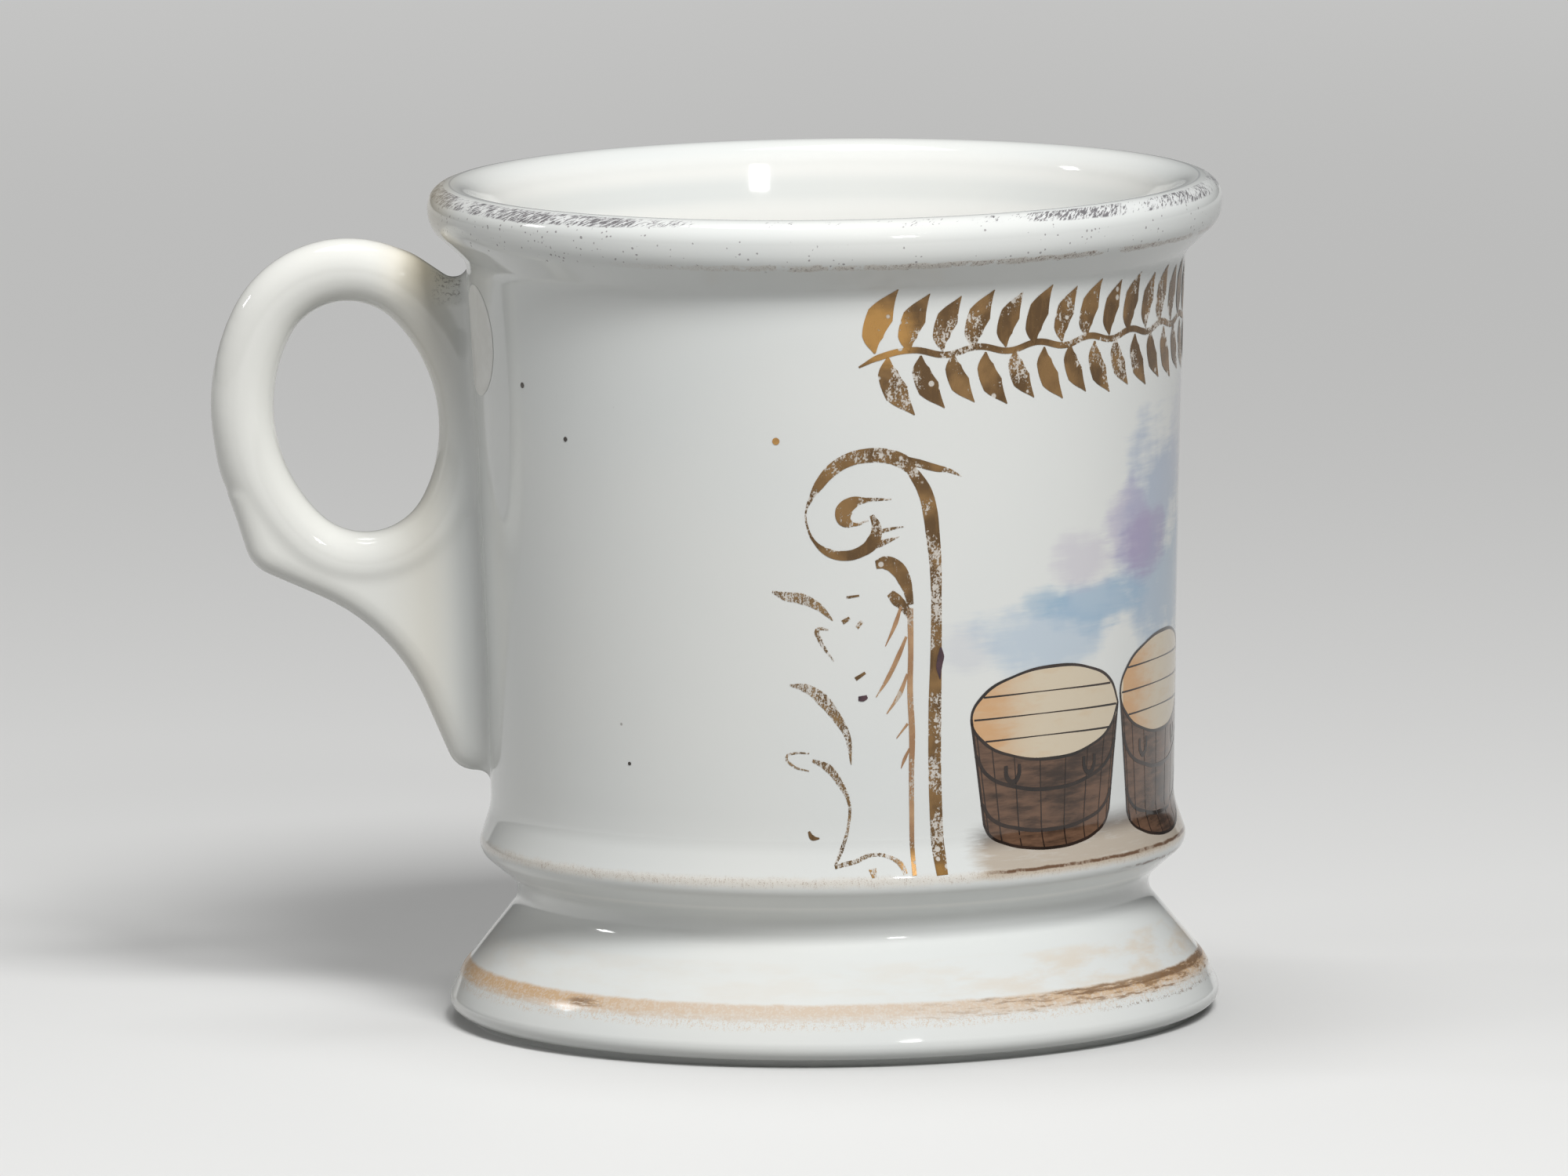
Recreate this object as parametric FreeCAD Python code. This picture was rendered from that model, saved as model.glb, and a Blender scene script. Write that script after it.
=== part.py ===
import FreeCAD, Part
import math
import os

from FreeCAD import Vector

# Shaving mug of glazed porcelain: a turned body with a rolled rim, a bead and a flared foot,
# and an ear handle with a spur and a tail. The handle is luted on before the firing, so that
# body and handle are one piece.
# Millimetres, +Z up. The foot ring stands on z = 0 round the Z axis, and the handle is towards -X.

# Body, outside: steps from corner to corner of the half section, and each corner's rounding
overall_height = 94.9
rim_diameter = 90.2
rim_edge_radius = 2.6
rim_roll_height = 4.65
rim_roll_taper = 0.35
rim_roll_radius = 3.4
rim_height = 8.5
rim_overhang = 4.5
rim_root_radius = 2.4
wall_taper = 1.95
wall_root_radius = 5.5
bead_upper_rise = 3.4
bead_upper_step = 1.15
bead_upper_radius = 2.0
bead_lower_rise = 1.4
bead_lower_step = 0.55
bead_lower_radius = 1.9
neck_rise = 4.7
neck_step = 5.6
neck_radius = 2.6
neck_height = 14.8
foot_spread = 9.75
foot_edge_radius = 1.54
foot_side_rise = 4.95
foot_side_step = 2.35
foot_side_radius = 4.4

# Body, inside and underneath
lip_width = 5.4
lip_radius = 3.4
lip_foot_radius = 14.0
wall_top_thickness = 3.4
wall_bottom_thickness = 4.35
floor_thickness = 5.0
floor_corner_radius = 7.0
foot_ring_inset = 3.15
foot_ring_width = 3.2
foot_ring_height = 0.8
recess_clearance = 2.4
recess_slope = 6.15
recess_corner_radius = 3.0

# Handle: an upright ring round the finger hole, an oval of four arcs
hole_width = 18.4
hole_height = 26.4
hole_clearance = 3.43
hole_drop = 17.85
handle_lean = 8.5
ring_thickness = 7.2
oval_end_share = 0.85

# Handle: the thinner web with the arm to the wall, the spur and the tail
web_thickness = 6.4
web_edge_radius = 2.6
web_overlap = 2.5
arm_start_run = 2.35
arm_start_drop = 0.55
arm_bend_run = 4.1
arm_bend_drop = 1.25
arm_bend_radius = 8.0
arm_end_run = 4.2
arm_end_drop = 2.9
spur_run = 12.1
spur_drop = 3.7
spur_radius = 4.2
spur_side_length = 8.6
spur_side_angle = 17.0
tail_clearance = 3.8
tail_run = 3.85
tail_end_radius = 3.2
tail_bend_run = 10.85
tail_bend_share = 0.7
tail_bend_roundness = 0.98
joint_fillet = 1.2

# A corner that turns by more than this is rounded in two halves
sharp_turn = 50.0

UP = Vector(0, 0, 1)
SIDEWAYS = Vector(0, 1, 0)
ORIGIN = Vector(0, 0, 0)

# Heights and radii of the body's main corners
bead_lower_height = neck_height + neck_rise
bead_upper_height = bead_lower_height + bead_lower_rise
wall_bottom_height = bead_upper_height + bead_upper_rise
wall_top_height = overall_height - rim_height
recess_depth = neck_height - recess_clearance
floor_level = recess_depth + floor_thickness
rim_out = rim_diameter / 2
wall_top_out = rim_out - rim_overhang
wall_bottom_out = wall_top_out - wall_taper
bead_upper_out = wall_bottom_out + bead_upper_step
bead_lower_out = bead_upper_out + bead_lower_step
neck_out = bead_lower_out - neck_step
foot_out = neck_out + foot_spread
wall_top_in = wall_top_out - wall_top_thickness
wall_bottom_in = wall_bottom_out - wall_bottom_thickness

# Places of the handle
hole_reach = wall_top_out + hole_clearance + hole_width / 2
hole_level = wall_top_height - hole_drop
root_reach = (wall_bottom_out + wall_bottom_in) / 2


def spot(out, up):
    """Point of the body's half section, out from the axis and up from the foot."""
    return Vector(out, 0, up)


def handle_spot(reach, level):
    """Point of the handle's middle plane, out from the mug's axis."""
    return Vector(-reach, 0, level)


def straight(start, end):
    return Part.LineSegment(start, end).toShape()


def rounding(before, corner, after, radius):
    """Arc of the given radius that rounds a corner, in two halves where the turn is sharp."""
    towards = (corner - before).normalize()
    away = (after - corner).normalize()
    half_turn = towards.getAngle(away) / 2
    start = corner - towards * radius * math.tan(half_turn)
    end = corner + away * radius * math.tan(half_turn)
    inwards = (away - towards).normalize()
    centre = corner + inwards * radius / math.cos(half_turn)
    middle = centre - inwards * radius
    if half_turn < math.radians(sharp_turn / 2):
        return [Part.Arc(start, middle, end).toShape()]
    first = Part.Arc(start, centre + (start + middle - centre * 2).normalize() * radius, middle)
    second = Part.Arc(middle, centre + (middle + end - centre * 2).normalize() * radius, end)
    return [first.toShape(), second.toShape()]


def rounded_outline(corners):
    """Straight runs through all corners, given as point and radius; 0 leaves a corner sharp."""
    edges = []
    here = corners[0][0]
    for (before, _), (corner, radius), (after, _) in zip(corners, corners[1:], corners[2:]):
        if radius > 0:
            arcs = rounding(before, corner, after, radius)
            edges += [straight(here, arcs[0].firstVertex().Point)] + arcs
            here = arcs[-1].lastVertex().Point
        else:
            edges.append(straight(here, corner))
            here = corner
    return edges + [straight(here, corners[-1][0])]


def body_section():
    """Half section from the axis under the floor, round the outside, to the axis on the floor."""
    ring_outer = foot_out - foot_ring_inset
    ring_inner = ring_outer - foot_ring_width
    underneath = [(spot(0, recess_depth), 0),
                  (spot(ring_inner - recess_slope, recess_depth), recess_corner_radius),
                  (spot(ring_inner, 0), 0),
                  (spot(ring_outer, 0), 0),
                  (spot(ring_outer, foot_ring_height), 0)]
    outside = [(spot(foot_out, foot_ring_height), foot_edge_radius),
               (spot(foot_out - foot_side_step, foot_ring_height + foot_side_rise), foot_side_radius),
               (spot(neck_out, neck_height), neck_radius),
               (spot(bead_lower_out, bead_lower_height), bead_lower_radius),
               (spot(bead_upper_out, bead_upper_height), bead_upper_radius),
               (spot(wall_bottom_out, wall_bottom_height), wall_root_radius),
               (spot(wall_top_out, wall_top_height), rim_root_radius),
               (spot(rim_out - rim_roll_taper, overall_height - rim_roll_height), rim_roll_radius),
               (spot(rim_out, overall_height), rim_edge_radius)]
    inside = [(spot(rim_out - lip_width, overall_height), lip_radius),
              (spot(wall_top_in, wall_top_height), lip_foot_radius),
              (spot(wall_bottom_in, floor_level), floor_corner_radius),
              (spot(0, floor_level), 0)]
    edges = rounded_outline(underneath + outside + inside)
    edges.append(straight(spot(0, floor_level), spot(0, recess_depth)))
    return Part.Face(Part.Wire(edges))


def make_body():
    return body_section().revolve(ORIGIN, UP, 360)


def oval_arcs(width, height):
    """Upright oval round the finger hole: centre, start and angle of its four arcs."""
    middle = handle_spot(hole_reach, hole_level)
    half_width = width / 2
    end_radius = half_width * oval_end_share
    rise = height / 2 - end_radius
    side_radius = (half_width ** 2 + rise ** 2 - end_radius ** 2) / (2 * (half_width - end_radius))
    shift = side_radius - half_width
    side_angle = 2 * math.degrees(math.atan2(rise, shift))
    end_angle = 180 - side_angle
    lean = FreeCAD.Rotation(SIDEWAYS, -handle_lean)
    arcs = []
    for centre, towards, radius, angle in ((Vector(-shift, 0, 0), Vector(1, 0, 0), side_radius, side_angle),
                                           (Vector(0, 0, rise), UP, end_radius, end_angle),
                                           (Vector(shift, 0, 0), Vector(-1, 0, 0), side_radius, side_angle),
                                           (Vector(0, 0, -rise), -UP, end_radius, end_angle)):
        start = centre + FreeCAD.Rotation(SIDEWAYS, angle / 2).multVec(towards) * radius
        arcs.append((middle + lean.multVec(centre), middle + lean.multVec(start), angle))
    return arcs


def make_ring():
    """Round bar bent to the oval."""
    pieces = []
    for centre, start, angle in oval_arcs(hole_width + ring_thickness, hole_height + ring_thickness):
        forwards = (start - centre).cross(SIDEWAYS)
        section = Part.Face(Part.Wire(Part.makeCircle(ring_thickness / 2, start, forwards)))
        pieces.append(section.revolve(centre, -SIDEWAYS, angle))
    return pieces[0].multiFuse(pieces[1:])


def make_opening():
    """Cutter that keeps the web out of the ring's inner half."""
    edges = []
    for centre, start, angle in oval_arcs(hole_width + 2 * web_overlap, hole_height + 2 * web_overlap):
        half = FreeCAD.Rotation(SIDEWAYS, -angle / 2)
        middle = centre + half.multVec(start - centre)
        end = centre + half.multVec(middle - centre)
        edges.append(Part.Arc(start, middle, end).toShape())
    opening = Part.Face(Part.Wire(edges))
    opening.translate(-SIDEWAYS * web_thickness)
    return opening.extrude(SIDEWAYS * 2 * web_thickness)


def web_outline():
    """Outline of the web: spur, hollow tail, root inside the wall, arm, and a chord inside the ring."""
    spur_level = hole_level - hole_height / 2 - spur_drop
    spur = handle_spot(hole_reach + spur_run, spur_level)
    side_way = Vector(-math.sin(math.radians(spur_side_angle)), 0, math.cos(math.radians(spur_side_angle)))
    tail_level = wall_bottom_height + tail_clearance
    tail_rise = spur_level - tail_level
    tail_bend = handle_spot(wall_bottom_out + tail_bend_run, tail_level + tail_rise * tail_bend_share)
    in_ring = handle_spot(hole_reach + (hole_width + ring_thickness) / 2, hole_level)
    arm_start = handle_spot(hole_reach - arm_start_run,
                            hole_level + hole_height / 2 + ring_thickness - arm_start_drop)
    arm_bend = arm_start + Vector(arm_bend_run, 0, -arm_bend_drop)
    arm_end = arm_bend + Vector(arm_end_run, 0, -arm_end_drop)
    return Part.Wire(rounded_outline([(in_ring, 0),
                                      (spur + side_way * spur_side_length, 0),
                                      (spur, spur_radius),
                                      (tail_bend, tail_rise * tail_bend_roundness),
                                      (handle_spot(wall_bottom_out + tail_run, tail_level), tail_end_radius),
                                      (handle_spot(root_reach, tail_level), 0),
                                      (handle_spot(root_reach, arm_end.z), 0),
                                      (arm_end, 0),
                                      (arm_bend, arm_bend_radius),
                                      (arm_start, 0),
                                      (in_ring, 0)]))


def make_web():
    web = Part.Face(web_outline()).extrude(SIDEWAYS * web_thickness)
    web.translate(-SIDEWAYS * web_thickness / 2)
    long_edges = [edge for edge in web.Edges
                  if abs(edge.CenterOfMass.y) > web_thickness / 4
                  and edge.CenterOfMass.x < -root_reach - web_edge_radius / 10]
    web = web.makeFillet(web_edge_radius, long_edges)
    return web.cut(make_opening())


def make_handle():
    handle = make_ring().fuse(make_web())
    wall_core = Part.makeCone(root_reach, (wall_top_out + wall_top_in) / 2, wall_top_height)
    return handle.cut(wall_core)


def joint_edges(mug):
    """Where the handle's faces meet the outside of the wall."""
    found = []
    for edge in mug.Edges:
        middle = edge.CenterOfMass
        beside_handle = middle.x < -root_reach and abs(middle.y) < ring_thickness
        on_wall = all(math.hypot(point.x, point.y) < wall_top_out + joint_fillet / 10
                      for point in edge.discretize(5))
        if beside_handle and on_wall and middle.z > bead_upper_height:
            found.append(edge)
    return found


def make_mug():
    mug = make_body().fuse(make_handle())
    return mug.makeFillet(joint_fillet, joint_edges(mug))


mug = make_mug()
print("valid", mug.isValid(), "solids", len(mug.Solids), "volume", round(mug.Volume))
os.makedirs("parts", exist_ok=True)
mug.Solids[0].exportStep("parts/shaving_mug.step")
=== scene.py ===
from functools import partial
from math import cos, exp, hypot, pi, radians, sin, sqrt, tan

import bpy
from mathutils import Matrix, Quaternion, Vector


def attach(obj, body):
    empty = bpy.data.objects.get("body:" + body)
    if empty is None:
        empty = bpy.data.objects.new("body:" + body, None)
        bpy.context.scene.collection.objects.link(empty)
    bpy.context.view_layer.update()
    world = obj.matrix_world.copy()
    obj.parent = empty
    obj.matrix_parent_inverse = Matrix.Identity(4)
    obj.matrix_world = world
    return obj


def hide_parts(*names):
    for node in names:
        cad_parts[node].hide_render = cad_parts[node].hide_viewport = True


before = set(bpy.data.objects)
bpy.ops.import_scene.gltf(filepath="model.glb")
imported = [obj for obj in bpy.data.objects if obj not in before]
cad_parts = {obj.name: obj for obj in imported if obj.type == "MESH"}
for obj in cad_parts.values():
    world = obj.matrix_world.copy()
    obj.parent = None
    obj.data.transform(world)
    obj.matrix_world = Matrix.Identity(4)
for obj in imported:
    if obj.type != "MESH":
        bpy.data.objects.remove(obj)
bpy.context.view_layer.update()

# Shaving mug: a turned porcelain body with its ear handle, worn gilding, a painted picture
# between two gilt scrolls, and a paper dot beside the handle.
# Sizes in the dictionaries are millimetres; the handle is towards -X and the picture towards +X.
# Flat drawings are laid out by the way round the wall from the front, and by the height.

mm = 0.001


def deselectAll():
    bpy.ops.object.select_all(action="DESELECT")


def makeActive(piece):
    deselectAll()
    piece.select_set(True)
    bpy.context.view_layer.objects.active = piece


def editAll():
    bpy.ops.object.mode_set(mode="EDIT")
    bpy.ops.mesh.select_all(action="SELECT")


def inMetres(values):
    return [value * mm for value in values]


def blend(a, b, share):
    return a + (b - a) * share


bodyShape = {
    "outside": [  # radius, height and rounding of each corner of the half section
        (41.35, 0.0, 0.0), (41.35, 0.8, 0.0),
        (44.5, 0.8, 1.54),  # edge of the foot
        (42.15, 5.75, 4.4),
        (34.75, 14.8, 2.6),  # neck
        (40.35, 19.5, 1.9), (39.8, 20.9, 2.0),  # bead
        (38.65, 24.3, 5.5),
        (39.4, 55.0, 4000.0),  # slight hollow of the wall
        (40.6, 86.4, 2.4),
        (44.75, 90.25, 3.4), (45.1, 94.9, 2.6),  # rolled rim
    ],
    "inside": [(39.7, 94.9, 3.4), (37.2, 86.5, 14.0), (34.3, 17.4, 7.0), (0.0, 17.4, 0.0)],
    "underneath": [(0.0, 12.4, 0.0), (32.0, 12.4, 3.0), (38.15, 0.0, 0.0), (41.35, 0.0, 0.0)],
    "wallCorner": 6,  # the corner above the bead, where the wall starts
    "segments": 256,
    "arcStep": 9.0,  # degrees between the rows on a rounding
    "wallStep": 4.0,  # rows on a straight run are no further apart than this
    "gentle": 100.0,  # a rounding above this counts as a straight run
    "nothing": 1e-4,  # rows closer than this are one
    "smoothAngle": 40.0,
}


def roundedRun(corners):
    # Points along straight runs whose corners are rounded, as (radius, height)
    points = [Vector(corners[0][:2])]
    for before, here, after in zip(corners, corners[1:], corners[2:]):
        corner, rounding = Vector(here[:2]), here[2]
        if rounding <= 0:
            points.append(corner)
            continue
        towards = (corner - Vector(before[:2])).normalized()
        away = (Vector(after[:2]) - corner).normalized()
        halfTurn = towards.angle(away) / 2
        centre = corner + (away - towards).normalized() * rounding / cos(halfTurn)
        start = corner - towards * rounding * tan(halfTurn)
        angle = 2 * halfTurn if towards.cross(away) > 0 else -2 * halfTurn
        steps = max(2, round(abs(angle) / radians(bodyShape["arcStep"])))
        if rounding > bodyShape["gentle"]:
            steps = max(steps, round(2 * (start - corner).length / bodyShape["wallStep"]))
        arm = start - centre
        for step in range(steps + 1):
            turn = angle * step / steps
            points.append(centre + Vector((arm.x * cos(turn) - arm.y * sin(turn),
                                           arm.x * sin(turn) + arm.y * cos(turn))))
    points.append(Vector(corners[-1][:2]))
    return points


def withRows(points):
    # The same run with more points on its long straight parts
    rows = [points[0]]
    for start, end in zip(points, points[1:]):
        length = (end - start).length
        if length < bodyShape["nothing"]:
            continue
        steps = max(1, round(length / bodyShape["wallStep"]))
        rows += [start.lerp(end, step / steps) for step in range(1, steps + 1)]
    return rows


outsideRows = withRows(roundedRun(bodyShape["outside"] + bodyShape["inside"][:1]))
wallRows = [row for row in outsideRows if row.y > bodyShape["outside"][bodyShape["wallCorner"]][1]]


def wallRadius(height):
    # Radius of the wall's outside at a height, in millimetres
    for low, high in zip(wallRows, wallRows[1:]):
        if low.y <= height <= high.y:
            return blend(low.x, high.x, (height - low.y) / (high.y - low.y))
    return wallRows[0].x


def makeBody():
    # Extrudes the half section's rows from the middle of the underside, round the foot, over the rim
    # and down to the middle of the cup's floor
    under = withRows(roundedRun(bodyShape["underneath"]))
    rows = under[1:-1] + withRows(roundedRun(bodyShape["outside"] + bodyShape["inside"]))[:-1]
    deselectAll()
    bpy.ops.mesh.primitive_circle_add(vertices=bodyShape["segments"], radius=rows[0].x * mm,
                                      location=(0, 0, rows[0].y * mm), fill_type="NGON")
    body = bpy.context.object
    bpy.ops.object.transform_apply(location=True)
    editAll()
    bpy.ops.mesh.poke()
    bpy.ops.mesh.select_all(action="DESELECT")
    bpy.ops.mesh.select_non_manifold()
    for before, row in zip(rows, rows[1:]):
        rise = (row.y - before.y) * mm
        bpy.ops.mesh.extrude_edges_move(TRANSFORM_OT_translate={"value": (0, 0, rise)})
        share = row.x / before.x
        bpy.ops.transform.resize(value=(share, share, 1), center_override=(0, 0, row.y * mm))
    bpy.ops.mesh.edge_face_add()
    bpy.ops.mesh.poke()
    bpy.ops.mesh.select_all(action="SELECT")
    bpy.ops.mesh.normals_make_consistent(inside=False)
    bpy.ops.object.mode_set(mode="OBJECT")
    body.name = "fired_mug"
    return body


handleShape = {
    "wallPlane": -37.9,  # the copied handle keeps what lies beyond this, with a slice of the wall
    "halfWidth": 6.5,
    "bottom": 25.6,
    "underRim": ((-40.6, 0, 85.7), (0.8, 0, 1)),  # place and direction of the cut below the rim
    "merged": 0.002,  # points of the solid's mesh closer than this are one
    "voxel": 0.32,
    "smoothing": 14,  # rounds, each by half
    "sink": 0.05,  # the slice of wall goes this far under the body's glaze
    "sinkFade": 0.5,
    "filled": (-67.7, 0, 62.0),  # slight hollow between ring and spur that is filled
    "fillReach": 2.6,
    "fillDepth": 0.24,
}


def cutAway(point, direction):
    bpy.ops.mesh.select_all(action="SELECT")
    bpy.ops.mesh.bisect(plane_co=point, plane_no=direction, use_fill=True, clear_outer=True)


def makeHandle():
    # A copy of the solid's handle, remeshed and smoothed so that the crease between ring and web is soft
    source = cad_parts["shaving_mug"]
    handle = source.copy()
    handle.data = source.data.copy()
    handle.parent = None
    bpy.context.collection.objects.link(handle)
    makeActive(handle)
    handle.animation_data_clear()
    for key in list(handle.keys()):
        del handle[key]
    handle.name = "mug_handle"
    shape = handleShape
    editAll()
    bpy.ops.mesh.remove_doubles(threshold=shape["merged"] * mm)
    cutAway((shape["wallPlane"] * mm, 0, 0), (1, 0, 0))
    cutAway((0, shape["halfWidth"] * mm, 0), (0, 1, 0))
    cutAway((0, -shape["halfWidth"] * mm, 0), (0, -1, 0))
    cutAway((0, 0, shape["bottom"] * mm), (0, 0, -1))
    rimPlace, rimDirection = shape["underRim"]
    cutAway(Vector(rimPlace) * mm, rimDirection)
    bpy.ops.object.mode_set(mode="OBJECT")
    remesh = handle.modifiers.new("remesh", "REMESH")
    remesh.voxel_size = shape["voxel"] * mm
    soften = handle.modifiers.new("soften", "SMOOTH")
    soften.iterations = shape["smoothing"]
    for modifier in ("remesh", "soften"):
        bpy.ops.object.modifier_apply(modifier=modifier)
    # The slice of wall goes just under the turned wall, so that only the fillet comes out of it,
    # and the hollow between ring and spur is filled
    for vertex in handle.data.vertices:
        place = vertex.co / mm
        reach = hypot(place.x, place.y)
        height = reach - wallRadius(place.z)
        sink = shape["sink"] * max(0.0, min(1.0, 1 - height / shape["sinkFade"]))
        vertex.co.x -= place.x / reach * sink * mm
        vertex.co.y -= place.y / reach * sink * mm
        nearness = (place - Vector(shape["filled"])).length / shape["fillReach"]
        vertex.co.x -= shape["fillDepth"] * exp(-nearness * nearness) * mm
    return handle


def makeMug():
    body = makeBody()
    handle = makeHandle()
    deselectAll()
    handle.select_set(True)
    body.select_set(True)
    bpy.context.view_layer.objects.active = body
    bpy.ops.object.join()
    bpy.ops.object.shade_smooth_by_angle(angle=radians(bodyShape["smoothAngle"]))
    print("mug:", len(body.data.polygons), "faces")
    return body


def feed(socket, value):
    if isinstance(value, bpy.types.NodeSocket):
        socket.id_data.links.new(value, socket)
    else:
        socket.default_value = (*value, 1) if socket.type == "RGBA" else value


def node(kind, inputs, tree=None, **settings):
    # A shader node, in the tree that its inputs come from where no tree is given
    if tree is None:
        tree = next(value.id_data for value in inputs.values() if isinstance(value, bpy.types.NodeSocket))
    made = tree.nodes.new("ShaderNode" + kind)
    for name, value in settings.items():
        setattr(made, name, value)
    for name, value in inputs.items():
        feed(made.inputs[name], value)
    return made


def newMaterial(name):
    material = bpy.data.materials.new(name)
    material.use_nodes = True
    tree = material.node_tree
    tree.nodes.clear()
    return material, node("TexCoord", {}, tree).outputs["Object"]


def addShader(inputs):
    node("OutputMaterial", {"Surface": node("BsdfPrincipled", inputs).outputs["BSDF"]})


def maths(operation, first, second=0.0):
    return node("Math", {0: first, 1: second}, operation=operation).outputs[0]


def folded(operation, *values):
    result = values[0]
    for value in values[1:]:
        result = maths(operation, result, value)
    return result


times = partial(folded, "MULTIPLY")
plus = partial(folded, "ADD")
most = partial(folded, "MAXIMUM")
minus = partial(maths, "SUBTRACT")


def scaled(value, share, start):
    return plus(times(value, share), start)


def mixColour(share, first, second):
    return node("Mix", {0: share, 6: first, 7: second}, data_type="RGBA").outputs[2]


def ramp(value, low, high):
    # 0 at low, 1 at high, smooth in between; high may lie below low
    return node("MapRange", {"Value": value, "From Min": low, "From Max": high},
                interpolation_type="SMOOTHSTEP").outputs[0]


def softStep(value, edge, softness):
    return ramp(value, minus(edge, softness), plus(edge, softness))


def noise(place, scale, detail, roughness=0.5):
    return node("TexNoise", {"Vector": place, "Scale": scale, "Detail": detail,
                             "Roughness": roughness}).outputs[0]


def cells(place, scale):
    # Distance from the middle of each cell, and a random number for the cell
    found = node("TexVoronoi", {"Vector": place, "Scale": scale}).outputs
    return found["Distance"], node("SeparateColor", {0: found["Color"]}).outputs[0]


def splitUp(place):
    return node("SeparateXYZ", {0: place}).outputs


def stretched(place, upright, across=1):
    return node("VectorMath", {0: place, 1: (across, across, upright)}, operation="MULTIPLY").outputs[0]


def lengthOf(place):
    return node("VectorMath", {0: place}, operation="LENGTH").outputs[1]


def useGroup(group, **values):
    made = values["Place"].id_data.nodes.new("ShaderNodeGroup")
    made.node_tree = group
    for name, value in values.items():
        feed(made.inputs[name], value)
    return made.outputs


def startGroup(name, inputs, outputs):
    # A node group with the vector Place and named numbers going in, and named numbers coming out
    group = bpy.data.node_groups.new(name, "ShaderNodeTree")
    group.interface.new_socket("Place", in_out="INPUT", socket_type="NodeSocketVector")
    for way, labels in (("INPUT", inputs), ("OUTPUT", outputs)):
        for label in labels:
            group.interface.new_socket(label, in_out=way, socket_type="NodeSocketFloat")
    return group, group.nodes.new("NodeGroupInput").outputs, group.nodes.new("NodeGroupOutput").inputs


wearLook = {  # of the noises: scale, detail, roughness
    "patches": (120, 3, 0.6),
    "stipple": (3600, 3, 0.65),
    "fibres": (1500, 3, 0.6),
    "fibreStretch": 0.35,
    "stippleShare": 0.6,
    "tone": (210, 3, 0.5),
    "unwornEdge": 0.80,
    "wornLowers": 0.55,
    "patchSoftness": 0.09,
    "rub": (0.24, 0.06),  # how much thinness rubs off, and how much goes in any case
    "level": 0.335,
    "levelSoftness": 0.035,
    "pitScale": 750,
    "pitSize": (0.34, 0.22),
    "pitsKept": (0.86, 0.88),
}


def makeWearGroup():
    # Where rubbed gilding still holds: nearly whole outside the worn patches, a stipple inside them
    group, given, out = startGroup("rubbedGilding", ("Worn", "Thin"), ("Held", "Tone"))
    look = wearLook
    place = given["Place"]
    patches = noise(place, *look["patches"])
    fibres = noise(stretched(place, look["fibreStretch"]), *look["fibres"])
    grain = plus(times(noise(place, *look["stipple"]), look["stippleShare"]),
                 times(fibres, 1 - look["stippleShare"]))
    edge = minus(look["unwornEdge"], times(given["Worn"], look["wornLowers"]))
    inPatch = softStep(patches, edge, look["patchSoftness"])
    level = plus(times(inPatch, scaled(given["Thin"], *look["rub"])), look["level"])
    held = softStep(grain, level, look["levelSoftness"])
    distance, chance = cells(place, look["pitScale"])
    pit = times(ramp(distance, *look["pitSize"]), ramp(chance, *look["pitsKept"]))
    feed(out["Held"], times(held, minus(1.0, pit)))
    feed(out["Tone"], noise(place, *look["tone"]))
    return group


raggedNoise = (420, 5, 0.65)


def makeBandGroup():
    # A painted ring round the body between two heights, with ragged edges; 1 in the band
    group, given, out = startGroup("paintedBand", ("Low", "High", "Softness", "Ragged"), ("Band",))
    low, high, softness = given["Low"], given["High"], given["Softness"]
    wobble = minus(noise(given["Place"], *raggedNoise), 0.5)
    height = plus(splitUp(given["Place"])[2], times(wobble, times(given["Ragged"], 2.0)))
    above = softStep(height, low, softness)
    below = ramp(height, plus(high, softness), minus(high, softness))
    feed(out["Band"], times(above, below))
    return group


washLook = {
    "blots": (130, 3, 0.5),
    "blotReach": 1.5,
    "streaks": (170, 4, 0.6),
    "streakStretch": 7,
    "streakReach": 0.7,
    "edge": (1.15, 0.45),
}


def makeWashGroup():
    # A soft brushed blot of colour on the wall, placed by the way round and the height
    names = ("Round", "Height", "At", "Up", "Width", "Tall", "Strength")
    group, given, out = startGroup("brushedWash", names, ("Wash",))
    look = washLook
    across = maths("DIVIDE", minus(given["Round"], given["At"]), given["Width"])
    upwards = maths("DIVIDE", minus(given["Height"], given["Up"]), given["Tall"])
    squares = plus(maths("POWER", across, 2.0), maths("POWER", upwards, 2.0))
    blots = minus(noise(given["Place"], *look["blots"]), 0.5)
    streaks = noise(stretched(given["Place"], look["streakStretch"]), *look["streaks"])
    away = plus(maths("SQRT", squares), times(blots, look["blotReach"]),
                times(minus(streaks, 0.5), look["streakReach"]))
    feed(out["Wash"], times(ramp(away, *look["edge"]), given["Strength"]))
    return group


pictureMiddle = 62.2  # half way round the decorated side from the front, in millimetres
wallMeanRadius = 39.6


def wayRound(place, radius):
    # Way round the body from the front, at a radius
    split = splitUp(place)
    return times(maths("ARCTAN2", split[0], times(split[1], -1.0)), radius)


def mirroredWay(roundWay):
    # The same on both sides of the picture's middle
    fromMiddle = maths("ABSOLUTE", minus(roundWay, pictureMiddle * mm))
    return minus(pictureMiddle * mm, fromMiddle)


def washAt(washGroup, at, spot):
    across, up, width, tall = inMetres(spot[:4])
    return useGroup(washGroup, Place=at["place"], Round=at["mirrored"], Height=at["height"], At=across,
                    Up=up, Width=width, Tall=tall, Strength=spot[4])["Wash"]


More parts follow.
